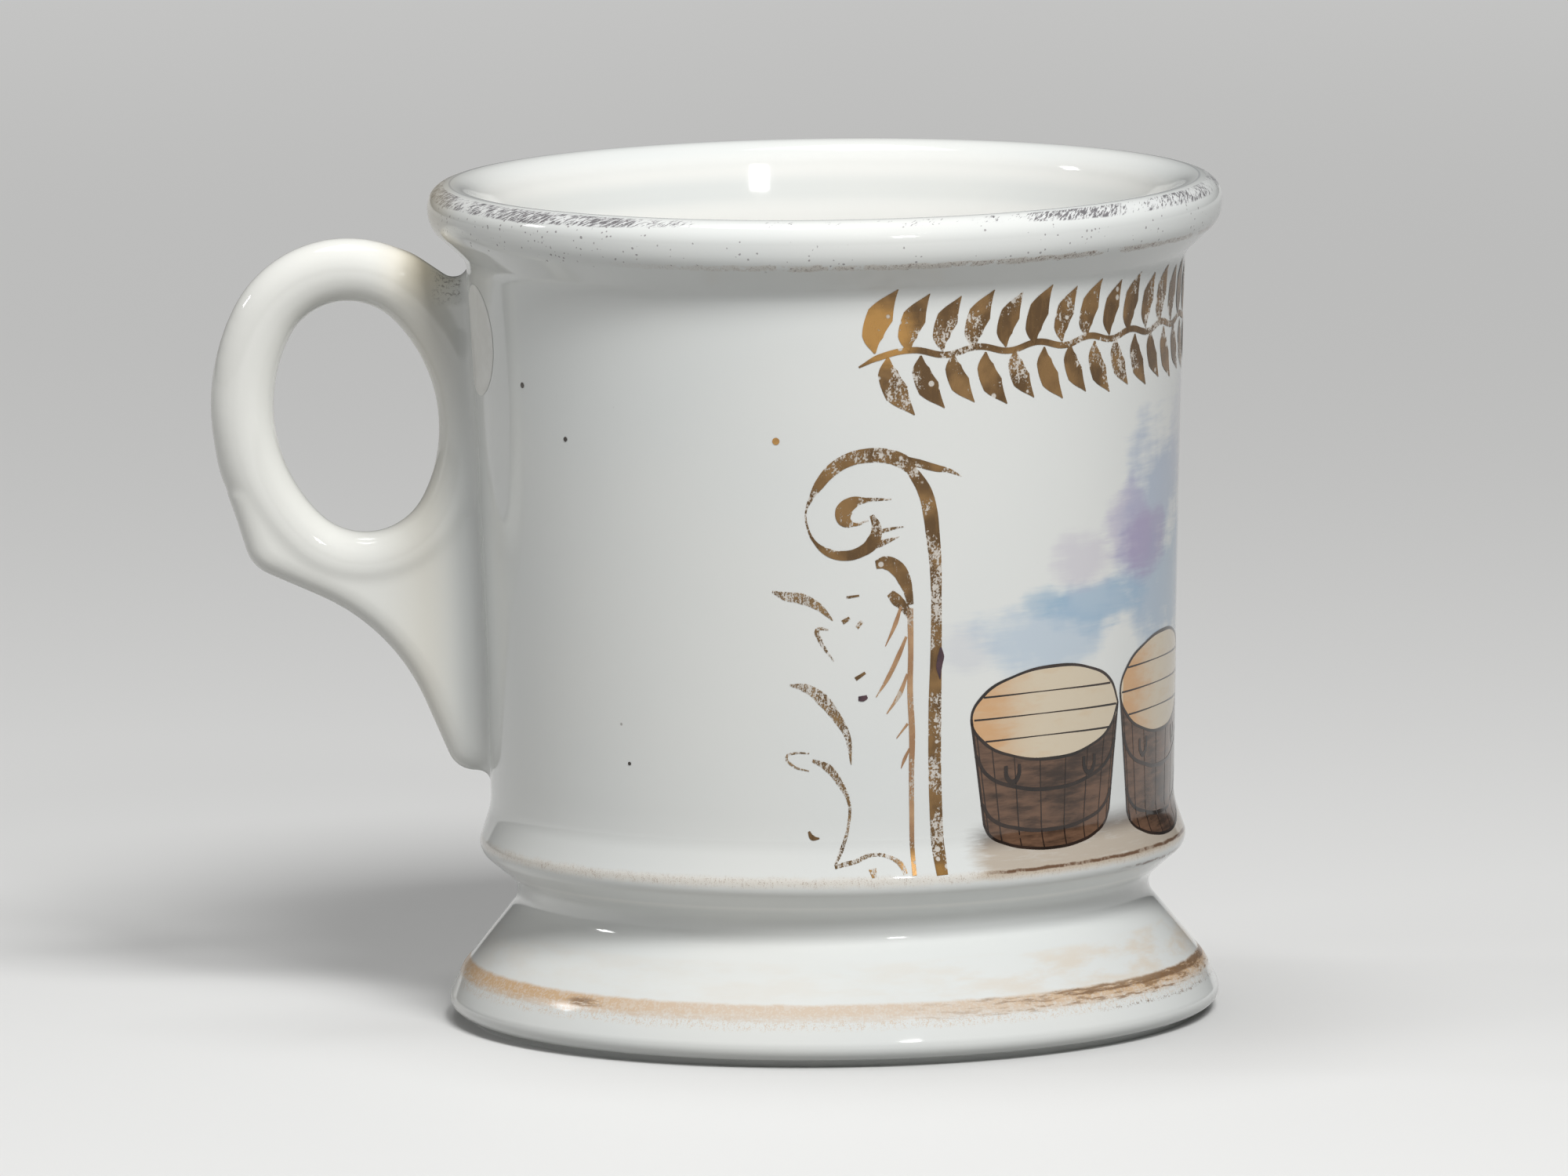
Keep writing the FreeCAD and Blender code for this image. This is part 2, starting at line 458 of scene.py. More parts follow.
glazePaints = {  # strength and colour
    "cool": (1.0, (0.74, 0.76, 0.745)),
    "ivory": (1.0, (0.79, 0.79, 0.75)),
    # cup: the same glaze painted lighter inside the cup, as painted light for the brighter inside
    "cup": (1.0, (0.86, 0.86, 0.83)),
    "rimHaze": (0.12, (0.45, 0.40, 0.48)),
    "rimTicks": (0.84, (0.085, 0.075, 0.085)),
    "rimGrains": (0.65, (0.15, 0.12, 0.13)),
    "rimLinePale": (0.25, (0.70, 0.57, 0.42)),
    "rimLine": (1.0, (0.13, 0.062, 0.03)),
    # crest: a thin grey line of painted shade just inside the rim's crest
    "crest": (0.45, (0.36, 0.37, 0.39)),
    "beadPale": (0.28, (0.70, 0.57, 0.42)),
    "beadSpeckle": (0.50, (0.27, 0.155, 0.08)),
    "beadLine": (1.0, (0.13, 0.062, 0.03)),
    "footTan": (1.0, (0.60, 0.365, 0.165)),
    "footCrumbs": (0.42, (0.60, 0.365, 0.165)),
    "footBrown": (0.82, (0.155, 0.076, 0.03)),
    "flare": (1.0, (0.70, 0.57, 0.42)),
    "stain": (1.0, (0.68, 0.60, 0.43)),
    "dirt": (0.55, (0.10, 0.08, 0.06)),
    "pinHoles": (0.6, (0.16, 0.13, 0.10)),
}
porcelainWhite = (0.77, 0.78, 0.755)

glazeZones = {  # what is measured, where the zone starts and where it is full; it may run downwards
    "onHandle": ("x", -40.5, -46.0),
    "outside": ("reach", 37.5, 38.0),
    "insideWall": ("reach", 40.0, 38.5),
    "aboveFloor": ("height", 16.5, 17.5),
    "nearLip": ("height", 90.0, 92.0),
    "deepInside": ("reach", 38.0, 37.4),
    "groundTop": ("height", 26.8, 23.8),
    "groundFoot": ("height", 19.6, 20.6),
    "groundShade": ("height", 22.5, 25.2),
    "sideways": ("aside", 10.0, 36.0),
    "towardsPicture": ("x", 0.0, 36.0),
    "roll": ("reach", 42.5, 43.5),
    "rollTop": ("height", 90.0, 91.0),
    "rollSide": ("height", 89.0, 89.6),
    "belowCrest": ("down", -51.85, -51.60),
    "rimLineReach": ("x", -30.0, 4.0),
    # These three zones place the line of painted shade just inside the crest
    "crestShadeOuter": ("reach", 42.15, 42.30),
    "crestShadeInner": ("reach", 42.50, 42.38),
    "crestShadeTop": ("height", 93.5, 94.0),
    "underPicture": ("mirrored", 17.0, 19.0),
    "secondLineReach": ("mirrored", 36.0, 44.0),
    "lowLineReach": ("x", 28.0, 34.0),
    "flareFoot": ("height", 6.0, 7.8),
    "flareTop": ("height", 14.0, 9.5),
    "nearWall": ("x", -52.0, -45.0),
    "handleTop": ("height", 80.0, 85.0),
    "jointFoot": ("height", 81.0, 83.0),
    "jointTop": ("height", 86.2, 85.0),
    "jointOuter": ("x", -45.0, -43.0),
    "jointInner": ("x", -40.8, -41.5),
}

glazeGrains = {  # how much finer upright, scale, detail and roughness of each noise
    "shade": (1, 25, 2, 0.5),
    "ground": (9, 260, 4, 0.6),
    "patches": (1, 110, 5, 0.68),
    "jagged": (1, 2600, 3, 0.5),
    "breaks": (1, 150, 5, 0.75),
    "lineWear": (1, 520, 4, 0.7),
    "streaks": (8, 380, 5, 0.65),
    "brushed": (4, 110, 4, 0.6),
    "crumbs": (1, 2400, 4, 0.75),
    "ripple": (1, 70, 2, 0.5),
}

glazeBands = {  # lower and upper height, softness, raggedness
    "rimBand": (89.4, 90.0, 0.12, 0.40),
    "beadBand": (19.9, 20.9, 0.40, 0.40),
    "beadLine": (20.55, 20.90, 0.09, 0.22),
    "secondLine": (19.0, 19.3, 0.10, 0.25),
    "footBand": (5.1, 6.9, 0.22, 0.22),
    "footCrumbs": (4.3, 5.2, 0.30, 0.50),
    "footEdge": (6.2, 6.9, 0.12, 0.30),
    "lowLine": (4.2, 4.5, 0.10, 0.35),
}

glazeStipples = {  # fineness, wear, thinness
    "fine": (2.0, 1.0, 0.62),
    "finest": (2.6, 1.0, 0.70),
    "coarse": (1.0, 0.9, 0.35),
}

washes = [  # way round from the front, height, width, height of the blot, strength, colour
    (15.5, 45.5, 4.5, 3.2, 0.40, (0.56, 0.58, 0.64)),
    (26.0, 46.5, 10.5, 4.4, 0.75, (0.47, 0.57, 0.67)),
    (54.0, 50.0, 17.0, 8.5, 0.80, (0.36, 0.47, 0.60)),
    (34.0, 49.6, 9.5, 2.9, 0.75, (0.31, 0.46, 0.61)),
    (25.5, 50.4, 3.6, 2.0, 0.55, (0.28, 0.44, 0.59)),
    (32.0, 54.5, 5.0, 3.6, 0.42, (0.52, 0.47, 0.58)),
    (49.0, 61.0, 11.0, 8.5, 0.72, (0.34, 0.42, 0.57)),
    (40.5, 58.0, 5.5, 5.5, 0.55, (0.44, 0.39, 0.56)),
    (46.0, 55.5, 6.5, 4.0, 0.55, (0.38, 0.30, 0.48)),
    (58.0, 67.0, 9.0, 7.0, 0.40, (0.52, 0.54, 0.64)),
]


def readGlaze(place, wearGroup, bandGroup):
    # Every measure, zone, grain, band and stipple that the glaze is painted by, under its name
    split = splitUp(place)
    reach = lengthOf(stretched(place, 0))
    roundWay = wayRound(place, wallMeanRadius * mm)
    at = {"place": place, "x": split[0], "height": split[2], "reach": reach, "roundWay": roundWay,
          "aside": maths("ABSOLUTE", split[0]), "mirrored": mirroredWay(roundWay),
          "down": minus(reach, split[2])}  # down grows from the crest outwards and down
    for name, (measure, start, full) in glazeZones.items():
        at[name] = ramp(at[measure], start * mm, full * mm)
    for name, (stretch, *grain) in glazeGrains.items():
        at[name] = noise(stretched(place, stretch), *grain)
    for name, band in glazeBands.items():
        low, high, softness, ragged = inMetres(band)
        at[name] = useGroup(bandGroup, Place=place, Low=low, High=high, Softness=softness,
                            Ragged=ragged)["Band"]
    for name, (fineness, worn, thin) in glazeStipples.items():
        at[name] = useGroup(wearGroup, Place=stretched(place, fineness, fineness), Worn=worn,
                            Thin=thin)["Held"]
    return at


def lay(colour, paint, *shares):
    # Lays one of the glaze's paints over the colour, where all the shares are
    strength, tint = glazePaints[paint]
    return mixColour(times(*shares, strength), colour, tint)


pictureGround = {
    "beige": (0.50, 0.43, 0.35),
    "shaded": (0.13, 0.105, 0.09),
    "strength": 0.95,
    "ragged": 4.0,
    "end": (17.0, 20.5),  # way round
    "gaps": (-0.1, 0.5),
}


def paintPicture(colour, at, washGroup):
    # Clouds, and the ground under the tubs
    look = pictureGround
    for *spot, tint in washes:
        colour = mixColour(times(washAt(washGroup, at, spot), at["outside"]), colour, tint)
    end = ramp(plus(at["mirrored"], times(at["ground"], look["ragged"] * mm)), *inMetres(look["end"]))
    ground = times(at["groundTop"], end, at["groundFoot"], at["outside"], ramp(at["ground"], *look["gaps"]))
    groundTint = mixColour(at["groundShade"], look["beige"], look["shaded"])
    return mixColour(times(ground, look["strength"]), colour, groundTint)


rimWear = {
    "slant": 0.8,  # of the ticks, against the way round
    "tickScale": (3300.0, 900.0),
    "tickNoise": (1.0, 4, 0.70),
    "heldSideways": 0.095,
    "mostHeld": 0.60,
    "haze": (0.42, 0.62),
    "tickEdge": (1.080, 0.03, 0.05),  # where a tick ends, and how softly on either side
    "lowEnd": (1.1, 1.0),  # how far sides and patches carry the ticks down
    "fadeOut": (-50.55, -50.90),
    "grainCells": 2100.0,
    "grainSize": (0.32, 0.18),
    "grainRagged": 0.9,
    "grainsFollowPatches": 2.2,
    "grainsKept": (0.84, 0.88),
    "lineBreaks": (0.43, 0.50),
    "lineCover": (0.82, 0.18),
    "lineStrength": (0.35, 0.55),  # what it gains towards the picture, and elsewhere
}


def paintRim(colour, at):
    # Slanting ticks below the crest, scattered grains, and a broken brown line low down
    look = rimWear
    patches, down = at["patches"], at["down"]
    slant = plus(at["roundWay"], times(down, look["slant"]))
    along, across = look["tickScale"]
    slanted = node("CombineXYZ", {0: times(slant, along), 1: times(down, across)}).outputs[0]
    held = maths("MINIMUM", plus(patches, times(at["sideways"], look["heldSideways"])), look["mostHeld"])
    edge, before, after = look["tickEdge"]
    edge = minus(edge, held)
    ticks = ramp(noise(slanted, *look["tickNoise"]), minus(edge, before), plus(edge, after))
    sideEnd, patchEnd = look["lowEnd"]
    lowEnd = plus(times(at["sideways"], sideEnd * mm), times(patches, patchEnd * mm))
    fade = ramp(minus(down, lowEnd), *inMetres(look["fadeOut"]))
    worn = times(at["belowCrest"], fade, at["rollTop"])
    colour = lay(colour, "rimHaze", worn, ramp(held, *look["haze"]))
    colour = lay(colour, "rimTicks", worn, ticks)

    distance, chance = cells(at["place"], look["grainCells"])
    ragged = times(minus(at["jagged"], 0.5), look["grainRagged"])
    grains = ramp(plus(distance, ragged), *look["grainSize"])
    follow = times(minus(patches, 0.5), look["grainsFollowPatches"])
    kept = ramp(plus(chance, follow), *look["grainsKept"])
    colour = lay(colour, "rimGrains", grains, kept, at["roll"], at["rollSide"])

    at["broken"] = ramp(at["breaks"], *look["lineBreaks"])
    line = times(at["rimBand"], at["broken"], at["roll"], at["rimLineReach"])
    colour = lay(colour, "rimLinePale", line)
    colour = lay(colour, "rimLine", line, scaled(at["fine"], *look["lineCover"]),
                 scaled(at["towardsPicture"], *look["lineStrength"]))
    # A thin grey line of painted shade just inside the crest, where the rim turns inwards
    colour = lay(colour, "crest", at["crestShadeOuter"], at["crestShadeInner"], at["crestShadeTop"])
    return colour, worn


beadWear = {"lineWear": (0.36, 0.50), "lineCover": (0.55, 0.37)}


def paintBead(colour, at):
    # Fine tan speckle on the crown, and a brown line under the picture
    bead = times(at["beadBand"], at["outside"])
    colour = lay(colour, "beadPale", bead)
    colour = lay(colour, "beadSpeckle", bead, at["finest"])
    second = times(at["secondLine"], at["broken"], at["secondLineReach"])
    line = times(most(at["beadLine"], second), at["underPicture"], at["outside"])
    wear = ramp(at["lineWear"], *beadWear["lineWear"])
    return lay(colour, "beadLine", line, scaled(wear, *beadWear["lineCover"]))


footWear = {
    "fadeRagged": 2.2,
    "fade": (4.6, 6.2),
    "fadeCover": 0.42,
    "stippleCover": 0.16,
    "sideCover": (0.60, 0.88),
    "darkStreaks": 0.5,
    "darkTowardsPicture": 9.0,
    "dark": (0.42, 0.55),
    "edgeGaps": (0.30, 0.48),
    "threads": (0.50, 0.60),
    "threadStrength": 0.75,
    "patch": (-29.0, 6.1, 3.2, 0.6, 0.8),  # laid out as a wash
    "patchGaps": (0.42, 0.56),
    "flareTint": (0.40, 0.66),
    "flareCover": (0.40, 0.14),
}


def paintFoot(colour, at, washGroup):
    # Tan band, dense along its upper edge and rubbed through below, brown towards the picture
    look = footWear
    streaks, outside = at["streaks"], at["outside"]
    band = times(at["footBand"], outside)
    height = plus(at["height"], times(minus(streaks, 0.5), look["fadeRagged"] * mm))
    fade = ramp(height, *inMetres(look["fade"]))
    cover = plus(times(fade, look["fadeCover"]), times(at["coarse"], look["stippleCover"]))
    colour = lay(colour, "footTan", band, cover, scaled(at["sideways"], *look["sideCover"]))
    colour = lay(colour, "footCrumbs", at["footCrumbs"], at["fine"], outside)
    darker = plus(times(streaks, look["darkStreaks"]), times(at["x"], look["darkTowardsPicture"]))
    edge = times(at["footEdge"], ramp(darker, *look["dark"]), outside, ramp(streaks, *look["edgeGaps"]))
    threads = times(band, ramp(streaks, *look["threads"]), at["towardsPicture"], look["threadStrength"])
    lowLine = times(at["lowLine"], at["lowLineReach"], outside, at["fine"])
    patch = washAt(washGroup, {**at, "mirrored": at["roundWay"]}, look["patch"])
    patch = times(patch, outside, ramp(streaks, *look["patchGaps"]))
    colour = lay(colour, "footBrown", most(edge, threads, lowLine, patch))
    # Faint brushed tint on the flare, stronger towards the picture
    tint = times(ramp(at["brushed"], *look["flareTint"]), at["flareFoot"], at["flareTop"], outside)
    colour = lay(colour, "flare", tint, scaled(at["towardsPicture"], *look["flareCover"]))
    return colour, band


def paintHandle(colour, at):
    # Ivory stain at the top of the ring and beside the wall, dark crumbs in the upper joint
    colour = lay(colour, "stain", at["onHandle"], at["nearWall"], scaled(at["handleTop"], 0.45, 0.22))
    joint = times(at["jointFoot"], at["jointOuter"], at["jointInner"], at["jointTop"])
    return lay(colour, "dirt", joint, ramp(at["crumbs"], 0.52, 0.60))


glazeFinish = {
    "shade": (0.35, 0.7),
    "holeCells": 130.0,
    "holeSize": (0.030, 0.012),
    "holesKept": (0.80, 0.82),
    "ripple": (0.10, 0.4),  # strength and depth
    "roughness": (0.14, 0.07),  # what worn gilding adds, and the bare glaze's own
}


def makeGlaze(wearGroup, bandGroup, washGroup):
    look = glazeFinish
    material, place = newMaterial("glazed_porcelain")
    at = readGlaze(place, wearGroup, bandGroup)
    colour = lay(porcelainWhite, "cool", ramp(at["shade"], *look["shade"]))
    colour = lay(colour, "ivory", at["onHandle"])
    # The inside of the cup is painted lighter than the outside: painted light on the same glaze
    colour = lay(colour, "cup", at["insideWall"], at["aboveFloor"], most(at["nearLip"], at["deepInside"]))
    colour = paintPicture(colour, at, washGroup)
    colour, rimWorn = paintRim(colour, at)
    colour = paintBead(colour, at)
    colour, footWorn = paintFoot(colour, at, washGroup)
    colour = paintHandle(colour, at)
    distance, chance = cells(place, look["holeCells"])
    colour = lay(colour, "pinHoles", ramp(distance, *look["holeSize"]), ramp(chance, *look["holesKept"]))
    strength, depth = look["ripple"]
    ripple = node("Bump", {"Height": at["ripple"], "Strength": strength, "Distance": depth * mm})
    roughness = scaled(most(rimWorn, footWorn), *look["roughness"])
    addShader({"Base Color": colour, "Roughness": roughness, "Normal": ripple.outputs[0]})
    return material


scroll = {  # gilt strokes: way round, height and width of the brush at each point
    "volute": [(9.4, 66.4, 1.2), (8.2, 67.5, 1.6), (6.3, 68.2, 1.6), (4.4, 68.3, 1.6), (2.3, 67.9, 1.5),
               (0.4, 66.8, 1.4), (-1.1, 65.1, 1.1), (-2.0, 63.6, 0.5), (-2.6, 62.1, 0.2), (-2.4, 60.2, 0.2),
               (-1.6, 58.6, 0.35), (-0.2, 57.5, 0.9), (1.5, 57.1, 1.1), (3.4, 57.5, 1.2), (4.8, 58.6, 1.5),
               (5.2, 60.2, 1.1), (4.7, 61.6, 0.5)],
    "eye": [(6.9, 63.3, 0.12), (4.1, 63.3, 0.5), (2.5, 63.0, 1.4), (1.6, 62.1, 1.9), (1.7, 61.1, 1.6),
            (2.7, 60.6, 0.4), (4.3, 61.0, 0.15)],
    "streakLow": [(3.8, 57.8, 0.9), (5.7, 58.4, 0.7), (7.8, 59.1, 0.1)],
    "streakHigh": [(4.6, 59.4, 0.5), (6.4, 59.9, 0.4), (8.3, 60.2, 0.1)],
    "spur": [(15.0, 65.5, 0.1), (13.6, 66.2, 0.45), (12.0, 66.6, 0.8), (10.1, 67.2, 0.9), (8.6, 67.7, 0.7)],
    "outer": [(8.6, 67.2, 0.8), (9.6, 65.9, 1.3), (10.7, 64.0, 1.6), (11.3, 61.7, 1.7), (11.6, 59.2, 1.6),
              (11.9, 56.0, 1.4), (12.0, 52.0, 1.2), (11.95, 46.0, 1.3), (11.8, 40.0, 1.5), (11.75, 33.0, 1.5),
              (11.9, 27.0, 1.5), (12.1, 23.0, 1.5), (12.2, 20.9, 1.3)],
    "head": [(5.1, 56.0, 0.9), (6.2, 56.2, 1.5), (7.5, 55.5, 1.7), (8.3, 54.2, 1.5), (8.75, 52.8, 1.0),
             (9.0, 51.4, 0.7)],
    "lobe": [(6.7, 52.8, 0.9), (7.4, 52.0, 1.3), (8.3, 51.1, 1.0), (8.9, 50.0, 0.6)],
    "inner": [(8.95, 51.0, 0.7), (9.0, 46.1, 0.6), (8.9, 41.7, 0.65), (9.1, 36.9, 0.7), (9.0, 32.2, 0.6),
              (9.0, 27.5, 0.55), (9.0, 21.0, 0.5)],
    "featherA": [(7.9, 51.2, 0.3), (7.3, 49.4, 0.5), (6.1, 46.8, 0.1)],
    "featherB": [(8.5, 47.8, 0.3), (7.6, 45.7, 0.55), (6.4, 43.3, 0.5), (5.0, 41.1, 0.1)],
    "featherC": [(8.6, 43.6, 0.3), (7.7, 41.4, 0.55), (6.2, 39.2, 0.12)],
    "featherD": [(8.6, 38.0, 0.3), (7.3, 36.4, 0.12)],
    "featherE": [(8.8, 35.2, 0.25), (8.2, 34.0, 0.4), (7.8, 33.0, 0.1)],
    "leafTop": [(-6.5, 53.1, 0.25), (-5.0, 52.6, 1.0), (-3.2, 52.3, 1.2), (-1.5, 51.5, 0.9), (0.3, 49.8, 0.15)],
    "hookTop": [(-0.3, 48.8, 0.15), (-1.5, 48.8, 0.5), (-1.3, 47.8, 0.5), (0.3, 45.2, 0.1)],
    "leafMiddle": [(-4.7, 42.6, 0.2), (-2.8, 42.2, 1.0), (-1.0, 40.9, 1.4), (0.4, 39.1, 1.1), (1.7, 36.8, 0.7),
                   (2.1, 33.6, 0.12)],
    "loop": [(-2.6, 34.9, 0.12), (-4.4, 34.9, 0.22), (-5.2, 34.5, 0.3), (-4.5, 33.5, 0.28), (-2.7, 32.9, 0.12)],
    "leafLow": [(-2.3, 34.1, 0.3), (-0.6, 33.3, 0.9), (0.8, 31.5, 0.7), (1.8, 29.3, 0.35), (1.7, 26.7, 0.3),
                (0.9, 24.0, 0.45), (0.2, 22.5, 0.3)],
    "base": [(0.1, 22.2, 0.5), (2.3, 22.7, 0.5), (4.4, 23.4, 0.4), (6.3, 23.1, 0.4), (7.6, 22.2, 0.6),
             (8.0, 21.2, 0.5)],
    "baseDrop": [(4.3, 21.9, 0.9), (4.5, 20.9, 0.5)],
    "fleckA": [(1.3, 49.6, 0.5), (2.1, 50.1, 0.4)],
    "fleckB": [(2.9, 49.0, 0.5), (3.5, 49.7, 0.4)],
    "fleckC": [(1.8, 52.4, 0.3), (3.2, 52.6, 0.2)],
    "fleckD": [(2.7, 43.2, 0.45), (3.8, 43.9, 0.3)],
    "comma": [(-2.8, 26.1, 0.25), (-2.4, 25.4, 0.6), (-1.6, 25.3, 0.15)],
}

laurel = {
    "first": 5.6,  # way round of the first pair of leaves
    "pitch": 3.78,
    "pairs": 15,  # up to the middle; the other half mirrors them
    "height": 79.6,
    "upperLeaf": [(-0.4, 0.1, 0.2), (-0.6, 1.8, 2.1), (0.2, 4.0, 2.7), (1.9, 6.6, 0.1)],
    "lowerLeaf": [(0.9, -0.3, 0.2), (0.9, -1.9, 2.0), (1.8, -4.0, 2.5), (3.6, -6.3, 0.1)],
    "stemWidth": 0.7,
    "stemWave": 0.35,
    "stemStart": (-2.2, -1.4, 0.2),  # from the first pair's root, and its width
    "growth": (1.1, 1.0, 0.93),  # of the first pair, then of every odd and every even one
}

drawing = {  # flat drawings: how they are made a mesh, and how high each lies over the glaze
    "roundness": 10,
    "sliceWidth": 0.8,
    "merged": 0.001,
    "lifts": {"sides": 0.03, "lids": 0.04, "lines": 0.05, "gilding": 0.05, "goldSpecks": 0.05,
              "kilnSpecks": 0.04, "plumMarks": 0.07, "dot": 0.035},
}


def newCurve(name, fillMode):
    curve = bpy.data.curves.new(name, "CURVE")
    curve.dimensions = "2D"
    curve.fill_mode = fillMode
    return curve


def addSpline(curve, points, handles):
    spline = curve.splines.new("BEZIER")
    spline.bezier_points.add(len(points) - 1)
    for point, (across, up) in zip(spline.bezier_points, points):
        point.co = (across, up, 0)
        point.handle_left_type = point.handle_right_type = handles
    return spline


def meshFrom(curve):
    piece = bpy.data.objects.new(curve.name, curve)
    bpy.context.collection.objects.link(piece)
    makeActive(piece)
    bpy.ops.object.convert(target="MESH")
    return piece


def drawStrokes(name, strokes, lift):
    # Bezier strokes with a flat brush, made a mesh and wrapped round the wall
    brushData = bpy.data.curves.new("brush", "CURVE")
    line = brushData.splines.new("POLY")
    line.points.add(1)
    for point, end in zip(line.points, (-0.5, 0.5)):
        point.co = (end, 0, 0, 1)
    brush = bpy.data.objects.new("brush", brushData)
    bpy.context.collection.objects.link(brush)
    curve = newCurve(name, "NONE")
    curve.bevel_mode = "OBJECT"
    curve.bevel_object = brush
    curve.resolution_u = drawing["roundness"]
    for stroke in strokes:
        spline = addSpline(curve, [point[:2] for point in stroke], "AUTO")
        for point, (*place, width) in zip(spline.bezier_points, stroke):
            point.radius = width
    piece = meshFrom(curve)
    bpy.data.objects.remove(brush)
    wrap(piece, lift)
    return piece


def drawShapes(name, outlines, lift, handles="AUTO"):
    # Closed outlines, filled, sliced upright so that they bend round the wall
    curve = newCurve(name, "BOTH")
    for outline in outlines:
        addSpline(curve, outline, handles).use_cyclic_u = True
    piece = meshFrom(curve)
    low = min(vertex.co.x for vertex in piece.data.vertices)
    high = max(vertex.co.x for vertex in piece.data.vertices)
    bpy.ops.object.mode_set(mode="EDIT")
    slices = round((high - low) / drawing["sliceWidth"])
    for step in range(1, slices):
        bpy.ops.mesh.select_all(action="SELECT")
        bpy.ops.mesh.bisect(plane_co=(blend(low, high, step / slices), 0, 0), plane_no=(1, 0, 0))
    bpy.ops.mesh.select_all(action="SELECT")
    bpy.ops.mesh.remove_doubles(threshold=drawing["merged"])
    bpy.ops.object.mode_set(mode="OBJECT")
    wrap(piece, lift)
    return piece


def wrap(piece, lift):
    # From a flat drawing (way round, height) to the outside of the wall, in metres
    for vertex in piece.data.vertices:
        angle = vertex.co.x / wallMeanRadius
        radius = (wallRadius(vertex.co.y) + lift) * mm
        vertex.co = (radius * sin(angle), -radius * cos(angle), vertex.co.y * mm)
    makeActive(piece)
    editAll()
    bpy.ops.mesh.normals_make_consistent(inside=False)
    bpy.ops.object.mode_set(mode="OBJECT")
    for face in piece.data.polygons:
        if Vector((face.center.x, face.center.y, 0)).dot(face.normal) < 0:
            face.flip()
    piece.data.shade_smooth()


def mirroredStrokes(strokes):
    return [[(2 * pictureMiddle - across, up, width) for across, up, width in points] for points in strokes]


plumMarks = [
    [(12.5, 46.4, 0.2), (12.5, 45.4, 0.8), (12.3, 44.2, 0.7), (12.4, 42.8, 0.1)],
    [(3.0, 41.0, 0.5), (3.5, 41.0, 0.65), (4.0, 41.2, 0.4)],
]

# Specks by way round, height, half width and half height
goldSpecks = [(-5.8, 70.0, 0.40, 0.40), (130.2, 70.0, 0.40, 0.40)]
kilnSpecks = [(-40.2, 74.4, 0.36, 0.32), (-32.6, 69.0, 0.30, 0.28), (-24.6, 33.0, 0.22, 0.2),
              (150.0, 60.0, 0.3, 0.28), (141.0, 41.0, 0.24, 0.22)]


def finishOf(name):
    if name.startswith(("leaf", "hook", "base", "loop")):
        return "rubbed_gilding"
    if name.startswith(("inner", "feather")):
        return "copper_gilding"
    return "worn_gilding"


def laurelStrokes():
    # A laurel branch from each end, leaning towards the middle
    height = laurel["height"]
    across, up, width = laurel["stemStart"]
    stem = [(laurel["first"] + across, height + up, width)]
    strokes = []
    firstGrowth, oddGrowth, evenGrowth = laurel["growth"]
    for pair in range(laurel["pairs"]):
        root = laurel["first"] + laurel["pitch"] * pair
        odd = pair % 2
        grow = firstGrowth if pair == 0 else (oddGrowth if odd else evenGrowth)
        for leaf in (laurel["upperLeaf"], laurel["lowerLeaf"]):
            strokes.append([(root + across * grow, height + up * grow, width * grow)
                            for across, up, width in leaf])
        stem.append((root, height + laurel["stemWave"] * (1 if odd else -1), laurel["stemWidth"]))
    strokes.append(stem)
    return strokes + mirroredStrokes(strokes)


giltLook = {
    "stain": (0.55, 0.38, 0.23),  # what the rubbed gold leaves on the glaze
    "bright": (0.52, 0.28, 0.08),
    "brightShare": 0.85,
    "brushMarks": (1100, 3, 0.6),
    "brushStretch": 0.3,
    "brushEdge": (0.45, 0.7),
    "brushShare": 0.35,
    "tone": (0.40, 0.66),
    "metallic": 0.5,
    "roughness": (0.22, 0.15),  # how much the brush marks add, and the least
    # The first place is the first laurel pair's brighter gold; the three at the scroll's foot are a painted
    # highlight where the gold catches the light
    "brightGoldAndGlintAt": [  # way round, height, width and height of the bright place, strength
        (5.5, 82.0, 4.5, 4.0, 1.0), (8.8, 22.2, 1.6, 2.2, 0.9), (4.5, 21.6, 1.6, 1.6, 0.9),
        (12.0, 21.0, 1.4, 1.2, 0.8),
    ],
    "rubbedAt": [
        (-2.0, 62.4, 1.6, 2.6, 1.0), (8.2, 66.6, 2.2, 1.2, 0.8), (4.6, 61.6, 1.8, 1.6, 0.8),
        (14.0, 66.0, 1.6, 0.9, 0.7), (0.2, 58.0, 1.2, 1.0, 0.6), (3.6, 61.3, 1.8, 1.6, 0.8),
        (12.0, 53.5, 1.6, 4.4, 1.0), (12.0, 46.5, 1.6, 2.2, 0.5), (12.0, 32.2, 1.6, 3.0, 1.0),
        (12.0, 25.5, 1.6, 2.6, 0.6), (8.6, 50.6, 1.0, 1.6, 0.5), (9.0, 30.0, 1.2, 4.0, 0.5),
        (11.0, 62.5, 1.0, 1.0, 0.4), (8.0, 75.6, 2.6, 2.6, 1.0), (15.0, 80.5, 2.2, 4.0, 0.8),
        (22.0, 76.0, 3.0, 3.0, 0.9), (29.0, 82.0, 3.0, 3.4, 0.7), (37.0, 77.0, 3.4, 3.6, 0.9),
        (46.0, 81.0, 3.6, 3.6, 0.7), (55.0, 77.0, 3.6, 3.6, 0.8),
    ],
}

# Dark and warm tones, wear outside and inside the rubbed places, thinness, residue, fineness
giltFinishes = {
    "worn_gilding": ((0.125, 0.070, 0.028), (0.28, 0.16, 0.062), 0.45, 0.95, 0.40, 0.22, 1.15),
    "rubbed_gilding": ((0.15, 0.088, 0.038), (0.30, 0.185, 0.082), 0.95, 1.0, 0.42, 0.14, 1.8),
    "copper_gilding": ((0.36, 0.20, 0.105), (0.50, 0.31, 0.17), 0.45, 0.95, 0.50, 0.40, 1.3),
}


def strongestWash(washGroup, at, spots):
    return most(*(washAt(washGroup, at, spot) for spot in spots))


